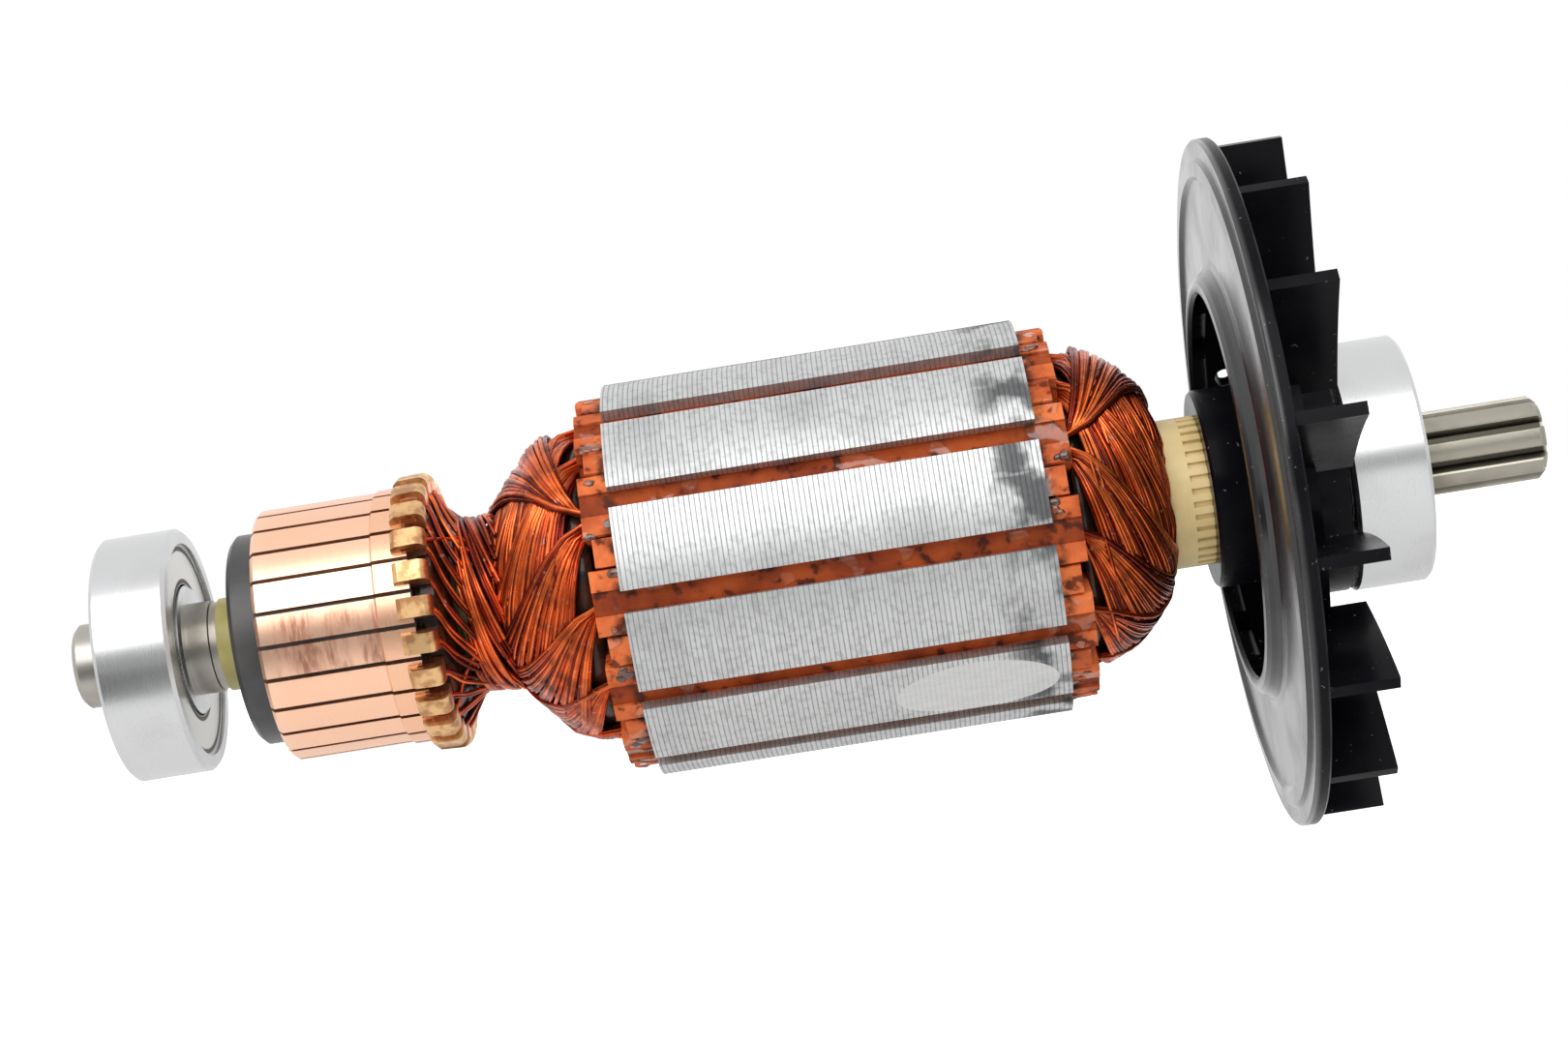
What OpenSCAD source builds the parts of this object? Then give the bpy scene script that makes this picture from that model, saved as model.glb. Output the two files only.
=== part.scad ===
// Armature of a universal motor for a hand-held power tool.
// The shaft lies along +X, with the commutator at low X and the pinion at high X.
// The origin is the centre of the rear bearing, and the shaft's axis is the X axis.
// Angles round the shaft run from -Y (0) over +Z (90).

/* [Bearings] */
// Outside diameter of both ball bearings
bearing_od = 26; // [24:0.5:28]
// Bore of both ball bearings
bearing_bore = 9; // [8:0.5:9.5]
// Width of both ball bearings
bearing_width = 8; // [7.6:0.1:9]
// Balls in each bearing
ball_count = 7; // [6:1:8]
// Diameter of one ball
ball_d = 4.762; // [4:0.05:5]

/* [Shaft] */
// How far the shaft stands out of the rear bearing
stub_length = 4.4; // [2:0.2:10]
// Diameter of the shoulder behind the rear bearing
shoulder_d = 9.8; // [9.6:0.1:11]
// Diameter of the shaft under its insulating tube
inner_shaft_d = 8.4; // [7:0.1:9]
// Teeth cut in the pinion
pinion_teeth = 8; // [6:1:10]
// Tip diameter of the pinion
pinion_d = 8.8; // [8:0.1:8.9]
// Depth of the pinion's teeth
pinion_tooth_depth = 1.1; // [0.6:0.1:1.4]
// Length of the toothed part
pinion_length = 13.4; // [8:0.2:20]
// Length of the shoulder between the rear bearing and the insulating tube
shoulder_length = 3.2; // [2:0.1:6]

/* [Commutator] */
// Diameter of the brush track
track_d = 26.7; // [25:0.1:27]
// How far the riser band stands above the brush track
riser_rise = 0.2; // [0.1:0.05:0.6]
// Length of insulating tube that shows beside the commutator
tube_show = 2.7; // [1:0.1:6]
// Length of the commutator's end ring
end_ring_length = 3.1; // [2:0.1:5]
// Radius of the commutator's end ring
end_ring_r = 11.2; // [10.6:0.1:12]
// Length of the brush track
track_length = 12.6; // [8:0.2:20]
// Length of the riser band
riser_length = 3.8; // [2.5:0.1:6]
// Copper bars in the commutator, two for each slot
bar_count = 24; // [12:12:36]
// Width of the slit between two bars
slit_width = 0.45; // [0.3:0.05:0.7]
// Depth to which the insulation between the bars is cut back
undercut = 0.8; // [0.4:0.1:1.5]
// Width of one hook
hook_width = 2.1; // [1.5:0.1:2.4]
// How far the hooks stand above the riser band
hook_rise = 1.15; // [1:0.05:1.6]
// Length of one hook
hook_length = 3.7; // [3:0.1:5]
// Diameter of the wire eye under a hook
eye_d = 0.5; // [0.4:0.05:0.6]

/* [Core] */
// Diameter of the lamination stack
core_d = 41.6; // [40:0.2:43]
// Length of the lamination stack
core_length = 43.3; // [38:0.1:45]
// Slots, and teeth, in the stack
slot_count = 12; // [12:12:24]
// Width of a slot's opening
slot_opening = 2.3; // [1.8:0.1:3]
// Width of a tooth's neck
tooth_neck = 3.4; // [3:0.1:4]
// Thickness of the lips beside a slot's opening
lip = 1.25; // [1:0.05:1.5]
// Depth of the flat ground in one tooth to balance the rotor
balance_depth = 0.4; // [0.2:0.05:0.8]

/* [Insulation] */
// Thickness of the slot liner
liner_t = 0.3; // [0.2:0.05:0.4]
// How far the liners and end stars stand out of the stack
overhang = 3; // [2:0.2:4]
// Diameter of the front insulating bush
bush_d = 15.8; // [14:0.2:17]
// Length of the front insulating bush
bush_length = 6.8; // [5:0.1:10]
// Thickness of the fibre end stars
star_t = 2.2; // [1.6:0.1:2.6]

/* [Winding] */
// Length of the winding head behind the commutator
rear_head_length = 15.3; // [12:0.1:20]
// Radius of the rear winding head where it leaves the slots
rear_head_r = 17.6; // [16:0.1:18]
// Radius of the neck between the commutator and the rear head
neck_r = 9.1; // [8:0.1:10]
// Length of the winding head in front of the stack
front_head_length = 10.7; // [8:0.1:15]
// Radius of the front winding head where it leaves the slots
front_head_r = 17.8; // [16:0.1:18]
// How far a bundle turns round the shaft on its way down a head
bundle_sweep = 66; // [40:1:90]
// Depth of the step between two bundles, as a share of the head's radius
bundle_step = 0.07; // [0.03:0.01:0.1]

/* [Fan] */
// Diameter of the fan disc
fan_d = 72.8; // [66:0.4:74]
// Diameter across the blade tips
blade_tip_d = 71.2; // [64:0.4:71.4]
// Blades on the fan, and ribs inside its ring
blade_count = 16; // [12:1:20]
// Thickness of one blade
blade_t = 1.3; // [1:0.1:1.8]
// Radius to which a blade is curved
blade_curve = 75; // [50:1:120]
// Diameter of the fan's hub
hub_d = 21; // [18:0.5:23]
// Diameter of the ring that stands out of the disc's front
ring_d = 44.4; // [40:0.4:48]
// How far that ring stands out of the disc
ring_rise = 1.9; // [1:0.1:3]
// Thickness of that ring
ring_t = 1.8; // [1.5:0.1:2.4]
// Radius of the boss behind the fan
boss_r = 12.8; // [11:0.1:13.5]
// Thickness of the disc
disc_t = 1.6; // [1.2:0.1:2.4]
// Length of the fan's hub from its front to the front bearing
hub_length = 13.8; // [12:0.1:18]

/* [Hidden] */
$fn = 96;
eps = 0.01;
running = 0.04;

// Places along the shaft, each measured from the one before
rear_face_x = -bearing_width / 2;
stub_x = rear_face_x - stub_length;
tube_x0 = bearing_width / 2 + shoulder_length;
end_ring_x = tube_x0 + tube_show;
track_x0 = end_ring_x + end_ring_length;
track_x1 = track_x0 + track_length;
riser_x1 = track_x1 + riser_length;
hook_bend_x = riser_x1 + 2.1;
hook_tip_x = hook_bend_x - hook_length;
band_x0 = riser_x1 + 0.8;
neck_x0 = band_x0 + 2.7;
rear_end_x = neck_x0 + rear_head_length;
core_x0 = rear_end_x + overhang;
core_x1 = core_x0 + core_length;
front_end_x = core_x1 + overhang;
front_head_x1 = front_end_x + front_head_length;
bush_x0 = front_head_x1 - 3.2;
hub_x0 = bush_x0 + bush_length;
front_bearing_x = hub_x0 + hub_length;
front_face_x = front_bearing_x + bearing_width;
pinion_x0 = front_face_x + 0.4;
pinion_x1 = pinion_x0 + pinion_length;

// Radii
seat_r = bearing_bore / 2;
inner_shaft_r = inner_shaft_d / 2;
tube_r = inner_shaft_r + 0.75;
track_r = track_d / 2;
riser_r = track_r + riser_rise;
hook_r = riser_r + hook_rise;
hook_foot_r = riser_r - 1.2;
bar_foot_r = end_ring_r - 1;
core_r = core_d / 2;
slot_top_r = core_r - lip;
slot_bottom_r = 10.8;
wedge_t = 0.6;
wedge_top_r = slot_top_r - liner_t;
coil_top_r = wedge_top_r - wedge_t;
star_r = slot_top_r;
star_ring_r = slot_bottom_r + 1.4;
pitch_r = (seat_r + bearing_od / 2) / 2;
ball_r = ball_d / 2;
groove_r = ball_r + running;

// Angles
slot_pitch = 360 / slot_count;
bar_pitch = 360 / bar_count;
first_tooth_angle = 9.9;
first_slit_angle = 11.3;
first_blade_angle = 9;
first_slot_angle = first_tooth_angle + slot_pitch / 2;
balance_angle = first_tooth_angle - 2 * slot_pitch - 1;

bar_names = [for (i = [1 : bar_count]) str("commutator_bar_", i)];
bearing_names = [
    for (end = ["rear", "front"])
        for (piece = ["outer_ring", "inner_ring", "balls", "cage", "outer_shield", "inner_shield"])
            str(end, "_", piece)
];

// ---- Helpers ----

// Stands children, drawn in a plane across the shaft, at a place along it
module across(x) {
    translate([x, 0, 0]) rotate([90, 0, 90]) mirror([1, 0, 0]) children();
}

// Extrudes an outline across the shaft from x0 to x1
module extruded(x0, x1) {
    across(x0) linear_extrude(x1 - x0) children();
}

// Revolves an outline of [radius, x] points round the shaft
module turned(points) {
    rotate([90, 0, 90]) rotate_extrude() polygon(points);
}

// A ring between two radii and two places
module tube(r0, r1, x0, x1) {
    turned([[r0, x0], [r1, x0], [r1, x1], [r0, x1]]);
}

// Copies a flat outline round the shaft
module around(count, first = 0) {
    for (i = [0 : count - 1]) rotate(first + i * 360 / count) children();
}

// ---- Shaft ----

module pinion_outline() {
    root_r = pinion_d / 2 - pinion_tooth_depth;
    tip_w = 0.5 * PI * pinion_d / pinion_teeth;
    root_w = 0.8 * PI * 2 * root_r / pinion_teeth;
    circle(root_r);
    intersection() {
        circle(pinion_d / 2);
        around(pinion_teeth) polygon([
            [root_r - 0.6, -root_w / 2],
            [pinion_d / 2 - 0.3, -tip_w / 2 - 0.15],
            [pinion_d / 2 + 0.2, -tip_w / 2 + 0.1],
            [pinion_d / 2 + 0.2, tip_w / 2 - 0.1],
            [pinion_d / 2 - 0.3, tip_w / 2 + 0.15],
            [root_r - 0.6, root_w / 2]
        ]);
    }
}

module centre_hole(x, way) {
    mouth_r = 1.6;
    drill_r = 0.7;
    translate([x, 0, 0]) rotate([0, way * 90, 0]) {
        translate([0, 0, -eps]) cylinder(r1 = mouth_r, r2 = drill_r, h = mouth_r);
        cylinder(r = drill_r, h = mouth_r + 1);
    }
}

module shaft() {
    color([0.72, 0.71, 0.68]) difference() {
        union() {
            turned([
                [0, stub_x], [seat_r - 0.5, stub_x], [seat_r, stub_x + 0.5],
                [seat_r, -rear_face_x], [shoulder_d / 2, -rear_face_x],
                [shoulder_d / 2, tube_x0 - 0.9], [shoulder_d / 2 - 0.25, tube_x0 - 0.8],
                [shoulder_d / 2 - 0.25, tube_x0], [inner_shaft_r, tube_x0],
                [inner_shaft_r, bush_x0], [seat_r, bush_x0],
                [seat_r, front_face_x], [pinion_d / 2 - 0.2, front_face_x + 0.2],
                [pinion_d / 2 - 0.2, pinion_x0 + 0.6], [0, pinion_x0 + 0.6]
            ]);
            intersection() {
                extruded(pinion_x0, pinion_x1) pinion_outline();
                turned([
                    [0, pinion_x0 - 1], [pinion_d / 2 + 1, pinion_x0 - 1],
                    [pinion_d / 2 + 1, pinion_x1 - 1.7], [pinion_d / 2 - 0.9, pinion_x1 + 0.2],
                    [0, pinion_x1 + 0.2]
                ]);
            }
        }
        centre_hole(stub_x, 1);
        centre_hole(pinion_x1, -1);
    }
}

module shaft_insulation() {
    color([0.93, 0.82, 0.45]) tube(inner_shaft_r, tube_r, tube_x0, bush_x0);
}

module front_bush() {
    rib_count = 36;
    bush_r = bush_d / 2;
    color([0.95, 0.9, 0.7]) difference() {
        turned([
            [seat_r, bush_x0], [bush_r - 0.3, bush_x0], [bush_r, bush_x0 + 0.3],
            [bush_r, hub_x0], [seat_r, hub_x0]
        ]);
        extruded(hub_x0 - 1.9, hub_x0 + 1)
            around(rib_count) translate([bush_r, 0]) square([0.8, 0.62], center = true);
    }
}

// ---- Commutator ----

module slit_fins() {
    around(bar_count, first_slit_angle)
        translate([bar_foot_r - 1, -slit_width / 2]) square([track_d, slit_width]);
}

module commutator_body() {
    color([0.13, 0.12, 0.12]) union() {
        turned([
            [tube_r, end_ring_x], [end_ring_r - 0.5, end_ring_x], [end_ring_r, end_ring_x + 0.5],
            [end_ring_r, track_x0],
            [bar_foot_r, track_x0], [bar_foot_r, band_x0], [tube_r, band_x0]
        ]);
        extruded(track_x0, riser_x1) intersection() {
            circle(track_r - undercut);
            slit_fins();
        }
    }
}

// The hook in its own plane, as [distance along the shaft, radius]
module hook_profile() {
    eye_r = eye_d / 2;
    bend_r = 1;
    difference() {
        union() {
            polygon([
                [hook_tip_x, riser_r - 0.3], [hook_tip_x + 0.1, hook_r - 0.5],
                [hook_tip_x + 0.6, hook_r - 0.1], [hook_bend_x - bend_r, hook_r],
                [hook_bend_x - bend_r, hook_foot_r], [riser_x1 - 0.4, hook_foot_r],
                [riser_x1 - 0.4, riser_r - 0.3]
            ]);
            translate([hook_bend_x - bend_r, hook_r - bend_r]) circle(bend_r);
            translate([hook_bend_x - 1.2, hook_foot_r]) square([1.2, hook_r - bend_r - hook_foot_r]);
        }
        translate([hook_tip_x + 1.3, riser_r + 0.01 + eye_r]) circle(eye_r, $fn = 32);
        translate([hook_bend_x - 1.05, riser_r + 0.01 + eye_r]) circle(eye_r, $fn = 32);
        translate([hook_tip_x + 1.3, riser_r + 0.01])
            square([hook_length - 2.35, eye_d]);
    }
}

module commutator_bar(i) {
    middle = first_slit_angle + (i - 0.5) * bar_pitch;
    color([0.86, 0.56, 0.42]) union() {
        intersection() {
            turned([
                [bar_foot_r, track_x0], [track_r - 0.4, track_x0],
                [track_r, track_x0 + 0.4], [track_r, track_x1],
                [riser_r, track_x1 + 0.2], [riser_r, riser_x1],
                [bar_foot_r, riser_x1]
            ]);
            extruded(track_x0 - 1, riser_x1 + 1) rotate(middle) difference() {
                polygon([
                    [0, 0],
                    [2 * riser_r * cos(bar_pitch / 2), -2 * riser_r * sin(bar_pitch / 2)],
                    [2 * riser_r * cos(bar_pitch / 2), 2 * riser_r * sin(bar_pitch / 2)]
                ]);
                for (side = [-1, 1]) rotate(side * bar_pitch / 2)
                    translate([0, -slit_width / 2]) square([2 * riser_r, slit_width]);
            }
        }
        rotate([-middle, 0, 0]) mirror([0, 1, 0]) translate([0, 0, -hook_width / 2])
            linear_extrude(hook_width) hook_profile();
    }
}

// ---- Core and insulation ----

// One slot, drawn towards +x, with its walls moved in by the inset
module slot_outline(inset = 0) {
    bottom_r = slot_bottom_r + inset;
    top_r = slot_top_r - inset;
    half_top = top_r * sin(slot_pitch / 2) - tooth_neck / 2 - inset;
    half_bottom = bottom_r * sin(slot_pitch / 2) - tooth_neck / 2 - inset;
    intersection() {
        circle(top_r);
        polygon([
            [bottom_r, -half_bottom], [top_r - 0.6, -half_top], [top_r + 1, -half_top + 0.5],
            [top_r + 1, half_top - 0.5], [top_r - 0.6, half_top], [bottom_r, half_bottom]
        ]);
    }
    intersection() {
        translate([bottom_r, 0]) circle(half_bottom);
        translate([bottom_r - 2, -half_bottom]) square([2 + eps, 2 * half_bottom]);
    }
}

module slots(inset = 0) {
    around(slot_count, first_slot_angle) slot_outline(inset);
}

module lamination_core() {
    cutter_r = 95;
    color([0.62, 0.63, 0.63]) difference() {
        extruded(core_x0, core_x1) difference() {
            circle(core_r);
            circle(tube_r);
            slots();
            around(slot_count, first_slot_angle)
                translate([slot_top_r - 1, -slot_opening / 2]) square([lip + 3, slot_opening]);
        }
        rotate([-balance_angle, 0, 0])
            translate([core_x1 - 9.6, -core_r + balance_depth - cutter_r, -8])
                cylinder(r = cutter_r, h = 16, $fn = 240);
    }
}

// A pressed fibre star: a ring under the slots and one block behind each tooth
module end_star() {
    block_w = tooth_neck - 0.5;
    difference() {
        union() {
            circle(star_ring_r);
            around(slot_count, first_tooth_angle)
                translate([star_ring_r - 4, -block_w / 2]) square([star_r - star_ring_r + 4, block_w]);
        }
        circle(tube_r);
        slots();
    }
}

module rear_end_star() {
    color([0.7, 0.3, 0.2]) extruded(core_x0 - star_t, core_x0) end_star();
}

module front_end_star() {
    color([0.7, 0.3, 0.2]) extruded(core_x1, core_x1 + star_t) end_star();
}

module slot_liners() {
    mouth_w = slot_opening + 0.2;
    color([0.74, 0.36, 0.25]) extruded(rear_end_x, front_end_x) difference() {
        slots();
        slots(liner_t);
        around(slot_count, first_slot_angle)
            translate([slot_top_r - 1, -mouth_w / 2]) square([3, mouth_w]);
    }
}

// The wedges close the slots under their lips, each as wide as its lined slot
module slot_wedges() {
    color([0.72, 0.33, 0.2]) extruded(rear_end_x, front_end_x) difference() {
        slots(liner_t);
        circle(coil_top_r);
    }
}

module slot_coils() {
    color([0.8, 0.35, 0.15]) extruded(rear_end_x, front_end_x) intersection() {
        slots(liner_t);
        circle(coil_top_r);
    }
}

// Shares of a head's length, with the shares of its rise from the thin end to the slots
rear_shape = [[0, 0], [0.235, 0], [0.314, 0.07], [0.431, 0.388], [0.614, 0.765], [0.81, 0.93], [1, 1]];
front_shape = [[0, 0], [0.037, 0.111], [0.168, 0.414], [0.346, 0.646], [0.58, 0.818], [0.813, 0.939], [1, 1]];

// Points across one bundle, as [share of the slot pitch, share of the step]: each lies over the next
bundle_form = [[0.03, 1], [0.1, 0.1], [0.22, 0], [0.42, 0.15], [0.65, 0.45], [0.86, 0.8]];

// One ring of points round a head
function bundle_ring(x, r, turn) = [
    for (k = [0 : slot_count - 1])
        for (form = bundle_form)
            let (
                a = first_slot_angle + (k + form[0]) * slot_pitch + turn,
                bundle_r = r * (1 - bundle_step * form[1])
            )
            [x, -bundle_r * cos(a), bundle_r * sin(a)]
];

// One ring of points in a head's bore, wide enough that its flats only touch what they surround
function bore_ring(x, r, count) = [
    for (j = [0 : count - 1])
        let (a = first_slot_angle + j * 360 / count)
            [x, -r / cos(180 / count) * cos(a), r / cos(180 / count) * sin(a)]
];

// A winding head between its thin end and the slots, towards +x where way is 1 and -x where it is -1.
// Its bore is a list of [x, radius] from high x to low x.
module head(shape, thin_x, length, way, thin_r, slot_r, bore) {
    levels = 20;
    count = slot_count * len(bundle_form);
    shift = round(bundle_sweep * count / 360);
    outside = [
        for (i = [0 : levels])
            let (
                share = way > 0 ? i / levels : 1 - i / levels,
                r = thin_r + (slot_r - thin_r) * lookup(share, shape)
            )
            each bundle_ring(thin_x + way * length * share, r, bundle_sweep * (share - 1))
    ];
    inside = [for (p = bore) each bore_ring(p[0], p[1], count)];
    rings = levels + 1 + len(bore);
    faces = [
        for (i = [0 : rings - 1])
            let (
                next = (i + 1) % rings,
                step = i == levels && way < 0 ? count - shift : next == 0 && way > 0 ? shift : 0
            )
            for (j = [0 : count - 1])
                let (
                    a = i * count + j,
                    b = i * count + (j + 1) % count,
                    c = next * count + (j + 1 + step) % count,
                    d = next * count + (j + step) % count
                )
                each [[a, b, c], [a, c, d]]
    ];
    polyhedron(concat(outside, inside), faces);
}

module rear_winding() {
    bore = [[rear_end_x, tube_r], [neck_x0, tube_r]];
    color([0.78, 0.3, 0.1])
        head(rear_shape, neck_x0, rear_head_length, 1, neck_r, rear_head_r, bore);
}

module front_winding() {
    bush_r = bush_d / 2;
    bore = [[front_head_x1, bush_r], [bush_x0, bush_r], [bush_x0, tube_r], [front_end_x, tube_r]];
    color([0.78, 0.3, 0.1])
        head(front_shape, front_head_x1, front_head_length, -1, bush_r + 1.2, front_head_r, bore);
}

module lead_band() {
    lead_r = hook_foot_r - 0.15;
    color([0.2, 0.1, 0.07]) turned([
        [tube_r, band_x0], [lead_r - 0.2, band_x0], [lead_r, band_x0 + 1.4],
        [neck_r * (1 - bundle_step), neck_x0], [tube_r, neck_x0]
    ]);
}

// ---- Fan ----

module blade_outline() {
    tip_r = blade_tip_d / 2;
    root_r = ring_d / 2 - ring_t + 0.2;
    lean = 3;
    intersection() {
        difference() {
            circle(tip_r);
            circle(root_r);
        }
        translate([0, -8]) square([tip_r + 1, 16]);
        translate([tip_r + blade_curve * sin(lean), -blade_curve * cos(lean)]) difference() {
            circle(blade_curve + blade_t / 2, $fn = 240);
            circle(blade_curve - blade_t / 2, $fn = 240);
        }
    }
}

// Pockets moulded into the ring's inner wall, with a rib left between each two
module ring_pockets(x0, x1) {
    wall_r = ring_d / 2 - ring_t;
    extruded(x0, x1) difference() {
        circle(wall_r + 1.1);
        circle(wall_r - 1);
        around(blade_count) translate([wall_r - 2, -0.5]) square([4, 1]);
    }
}

module fan() {
    rim_r = fan_d / 2;
    hub_r = hub_d / 2;
    ring_r = ring_d / 2;
    wall_r = ring_r - ring_t;
    disc_x = hub_x0 + 4.2;
    nose_x = disc_x - ring_rise;
    back_x = disc_x + disc_t;
    floor_x = back_x + 1.6;
    plate_x = floor_x + 1.5;
    spacer_r = seat_r + 2.2;
    boss_x = front_bearing_x - 0.5;
    blade_x1 = front_bearing_x - 1.1;
    color([0.09, 0.09, 0.1]) difference() {
        union() {
            turned([
                [seat_r, hub_x0], [hub_r - 0.3, hub_x0], [hub_r, hub_x0 + 0.3],
                [hub_r, floor_x], [wall_r, floor_x], [wall_r, nose_x + 0.5],
                [wall_r + 0.25, nose_x + 0.1], [wall_r + 0.7, nose_x], [wall_r + 1.3, nose_x + 0.1],
                [ring_r, nose_x + 0.5], [ring_r + 0.3, nose_x + 1], [ring_r + 0.8, disc_x - 0.4],
                [ring_r + 1.8, disc_x - 0.2], [rim_r - 4.2, disc_x - 0.1],
                [rim_r - 3.8, disc_x - 0.5], [rim_r - 2.2, disc_x - 0.4], [rim_r - 1.8, disc_x],
                [rim_r - 0.2, disc_x], [rim_r, disc_x + 0.2], [rim_r, back_x - 0.2],
                [rim_r - 0.2, back_x], [ring_r, back_x], [ring_r - 0.4, plate_x],
                [boss_r + 1, plate_x], [boss_r, plate_x + 1], [boss_r, boss_x],
                [spacer_r, boss_x], [spacer_r, front_bearing_x], [seat_r, front_bearing_x]
            ]);
            extruded(back_x - 0.3, blade_x1)
                around(blade_count, first_blade_angle) blade_outline();
        }
        ring_pockets(nose_x + 0.5, disc_x + 0.1);
        for (side = [0, 180]) rotate([-side - 145, 0, 0])
            translate([back_x + 0.45, 0, 0]) rotate([90, 0, 0])
                translate([0, 0, wall_r - 1]) cylinder(r = 1.1, h = ring_t + 1.6);
    }
}

// ---- Bearings ----

// One ball bearing with its left face at x = 0
module bearing_piece(piece) {
    outer_r = bearing_od / 2;
    land_out = pitch_r + ball_r * 0.78;
    land_in = pitch_r - ball_r * 0.78;
    shield_r = 11.4;
    shield_x = 0.5;
    shield_t = 0.4;
    mid = bearing_width / 2;
    if (piece == "outer_ring") color([0.75, 0.76, 0.77]) difference() {
        turned([
            [shield_r, 0], [outer_r - 0.4, 0], [outer_r, 0.4], [outer_r, bearing_width - 0.4],
            [outer_r - 0.4, bearing_width], [shield_r, bearing_width],
            [shield_r, bearing_width - shield_x - shield_t],
            [land_out, bearing_width - shield_x - shield_t],
            [land_out, shield_x + shield_t], [shield_r, shield_x + shield_t]
        ]);
        rotate([90, 0, 90]) rotate_extrude() translate([pitch_r, mid]) circle(groove_r);
    }
    if (piece == "inner_ring") color([0.78, 0.79, 0.8]) difference() {
        turned([
            [seat_r, 0], [land_in - 0.3, 0], [land_in, 0.3], [land_in, bearing_width - 0.3],
            [land_in - 0.3, bearing_width], [seat_r, bearing_width]
        ]);
        rotate([90, 0, 90]) rotate_extrude() translate([pitch_r, mid]) circle(groove_r);
    }
    if (piece == "balls") color([0.85, 0.86, 0.87])
        for (i = [0 : ball_count - 1]) rotate([i * 360 / ball_count, 0, 0])
            translate([mid, -pitch_r, 0]) sphere(ball_r);
    if (piece == "cage") color([0.6, 0.55, 0.4]) difference() {
        union() {
            tube(pitch_r - 0.9, pitch_r + 0.9, mid + 2, mid + 2.8);
            intersection() {
                tube(pitch_r - 0.7, pitch_r + 0.7, mid - 1.2, mid + 2.4);
                extruded(mid - 2, mid + 3) around(ball_count, 180 / ball_count)
                    translate([0, -2]) square([pitch_r * 2, 4]);
            }
        }
        for (i = [0 : ball_count - 1]) rotate([i * 360 / ball_count, 0, 0])
            translate([mid, -pitch_r, 0]) sphere(ball_r + running);
    }
    if (piece == "outer_shield") color([0.8, 0.81, 0.82]) shield(shield_x, shield_r, land_in, shield_t);
    if (piece == "inner_shield") color([0.8, 0.81, 0.82])
        shield(bearing_width - shield_x - shield_t, shield_r, land_in, shield_t);
}

module shield(x, outer_r, land_r, t) {
    tube(land_r + 0.2, outer_r, x, x + t);
}

shaft();
shaft_insulation();
front_bush();
commutator_body();
lead_band();
lamination_core();
rear_end_star();
front_end_star();
slot_liners();
slot_wedges();
slot_coils();
rear_winding();
front_winding();
fan();
for (i = [1 : bar_count]) {
    commutator_bar(i);
}
for (piece = ["outer_ring", "inner_ring", "balls", "cage", "outer_shield", "inner_shield"]) {
    translate([rear_face_x, 0, 0]) bearing_piece(piece);
    translate([front_bearing_x, 0, 0]) bearing_piece(piece);
}
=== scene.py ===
# %% [markdown]
# # Dressing a motor armature
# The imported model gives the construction: shaft, bearings, commutator bars, core and fan, each at its real
# size. This script gives each surface its finish, winds the copper wire, and sets up the light and the
# camera.

# %% Load the frame
import bpy
import bmesh
import math
import random
from mathutils import Matrix, Vector, noise


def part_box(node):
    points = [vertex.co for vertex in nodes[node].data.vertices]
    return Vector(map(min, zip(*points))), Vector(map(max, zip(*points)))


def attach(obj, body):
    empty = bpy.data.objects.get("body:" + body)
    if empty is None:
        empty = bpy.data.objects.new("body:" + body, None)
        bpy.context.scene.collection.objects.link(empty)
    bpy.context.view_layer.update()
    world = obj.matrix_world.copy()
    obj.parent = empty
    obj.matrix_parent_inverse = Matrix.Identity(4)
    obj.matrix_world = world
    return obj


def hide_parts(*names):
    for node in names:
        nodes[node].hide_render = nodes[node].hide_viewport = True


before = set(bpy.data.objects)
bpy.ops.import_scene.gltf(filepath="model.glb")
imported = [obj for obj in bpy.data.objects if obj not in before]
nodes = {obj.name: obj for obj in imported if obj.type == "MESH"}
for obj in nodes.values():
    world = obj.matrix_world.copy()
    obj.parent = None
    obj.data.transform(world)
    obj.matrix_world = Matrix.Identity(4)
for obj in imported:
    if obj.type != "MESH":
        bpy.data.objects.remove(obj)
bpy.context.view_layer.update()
MM = 0.001

# %% [markdown]
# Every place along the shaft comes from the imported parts. The shaft lies along X, and its axis is y = z =
# 0. Angles round the shaft run from the side facing -Y (0 degrees) over the top (90 degrees). A size that
# is no edge of a part's box, such as the radius of a ring inside it, stands as a named value in the cell
# that needs it.

# %% Places and sizes read from the parts
def span(node):
    low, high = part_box(node)
    return low.x, high.x


def outer_radius(node):
    low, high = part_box(node)
    return (high.z - low.z) / 2


core_start, core_end = span("lamination_core")
core_radius = outer_radius("lamination_core")
liner_start, liner_end = span("slot_liners")
track_start, hook_end = span("commutator_bar_1")
neck_start = span("rear_winding")[0]
hub_start = span("front_bush")[1]
pinion_start = span("front_outer_ring")[1]
pinion_end = span("shaft")[1]
print("core radius", round(core_radius, 5), "length", round(core_end - core_start, 5))

# %% [markdown]
# ## Shader maths
# A node tree is easier to read as a formula. This class wraps a socket, so that `1 - mask` or `a * b` adds
# the Math nodes by itself. One method, `add`, makes any other node.

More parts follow.
